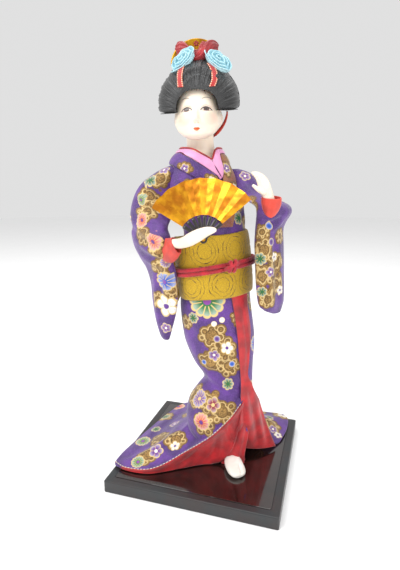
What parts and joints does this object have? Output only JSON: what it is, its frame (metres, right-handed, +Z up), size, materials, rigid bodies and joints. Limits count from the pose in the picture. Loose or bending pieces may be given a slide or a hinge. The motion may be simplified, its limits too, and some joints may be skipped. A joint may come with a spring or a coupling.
{
  "type": "geisha doll on stand",
  "caption": "Standing Japanese souvenir doll in a brocade kimono with a trailing hem, gold sash and open fan, fixed on a square black stand.",
  "frame": {"origin": "centre of the stand's underside", "axes": "+Z up, -Y towards the stand's front edge, +X to the doll's left, which is the right in a view from the front"},
  "size_m": [0.125, 0.125, 0.3094],
  "materials": {
    "lacquer": "black lacquer with a dark grey satin border",
    "brocade": "woven brocade, purple with metallic gold clouds and flowers",
    "red_silk": "plain red satin",
    "gold_brocade": "yellow woven brocade with dark arcs",
    "red_cord": "twisted cord",
    "pink_silk": "plain pink cloth",
    "skin": "cream, soft sheen",
    "hair": "black fibre, combed, with a soft sheen",
    "gold_paper": "metallic gold foil paper",
    "black_wood": "black lacquered bamboo",
    "blue_satin": "pale blue satin ribbon",
    "white_foot": "off-white, soft sheen"
  },
  "bodies": {
    "root": {"stand": "lacquer", "kimono_skirt": "brocade", "hem_lining": "red_silk", "front_band": "red_silk", "underskirt": "red_silk", "tabi_foot": "white_foot", "kimono_bodice": "brocade", "collar_edge": "red_silk", "collar_inner_right": "pink_silk", "collar_inner_left": "pink_silk", "collar_outer_right": "brocade", "collar_outer_left": "brocade", "sash": "gold_brocade", "sash_cord": "red_cord", "sash_cord_knot": "red_cord", "sash_bow_knot": "gold_brocade", "sash_bow_right": "gold_brocade", "sash_bow_left": "gold_brocade", "sleeve_right": "brocade", "sleeve_left": "brocade", "cuff_right": "red_silk", "cuff_left": "red_silk", "hand_right": "skin", "hand_left": "skin", "head": "skin", "hair": "hair", "hair_comb": "gold_paper", "ribbon_rose_right": "blue_satin", "ribbon_rose_left": "blue_satin", "hair_ribbon": "red_silk", "hair_strip_right": "red_silk", "hair_strip_left": "red_silk", "nape_ribbon": "red_silk", "fan_leaf": "gold_paper", "fan_sticks": "black_wood", "fan_rivet": "gold_paper"}
  },
  "joints": []
}
